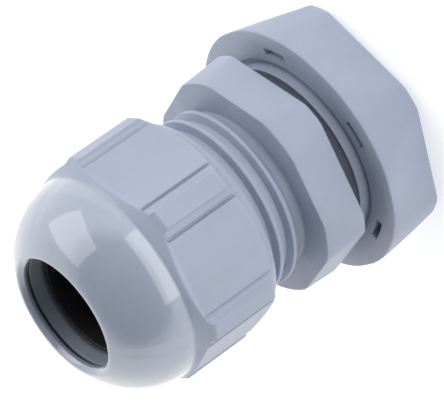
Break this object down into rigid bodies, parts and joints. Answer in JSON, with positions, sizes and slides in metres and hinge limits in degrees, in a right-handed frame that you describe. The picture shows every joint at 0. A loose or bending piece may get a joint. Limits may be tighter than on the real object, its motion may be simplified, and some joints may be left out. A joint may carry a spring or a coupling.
{
  "type": "cable gland",
  "caption": "Plastic cable gland: ribbed dome nut, clamping cage with rubber bush, hexagonal body with entry thread, sealing ring and flanged locknut.",
  "frame": {"origin": "on the gland's axis, at the face of the body's hexagon that meets the panel", "axes": "+Z along the axis towards the dome nut, where the cable enters; a flat of the body's hexagon faces -Y"},
  "size_m": [0.0302, 0.0302, 0.0423],
  "materials": {
    "polyamide": "satin moulded polyamide",
    "polyamide_gloss": "glossy moulded polyamide",
    "bush_rubber": "matt black chloroprene",
    "ring_rubber": "matt grey sealing compound"
  },
  "bodies": {
    "body": {"gland_body": "polyamide"},
    "clamp": {"clamp_cage": "polyamide", "seal_insert": "bush_rubber"},
    "nut": {"dome_nut": "polyamide_gloss"},
    "ring": {"panel_ring": "ring_rubber"},
    "lock": {"locknut": "polyamide"}
  },
  "joints": [
    {"name": "clamp_slide", "type": "slide", "parent": "body", "child": "clamp", "axis": [0, 0, 1], "range_m": [-0.0041, 0.0021]},
    {"name": "nut_turn", "type": "hinge", "parent": "clamp", "child": "nut", "pos_m": [0, 0, 0.018], "axis": [0, 0, 1], "range_deg": [-360, 720]},
    {"name": "ring_slide", "type": "slide", "parent": "body", "child": "ring", "axis": [0, 0, 1], "range_m": [-0.0061, 0]},
    {"name": "locknut_turn", "type": "hinge", "parent": "ring", "child": "lock", "pos_m": [0, 0, -0.006], "axis": [0, 0, 1], "range_deg": [-1440, 0]}
  ],
  "couplings": [
    {"joint": "clamp_slide", "follows": "nut_turn", "m_per_rad": -0.00031831},
    {"joint": "ring_slide", "follows": "locknut_turn", "m_per_rad": 0.00023873}
  ]
}
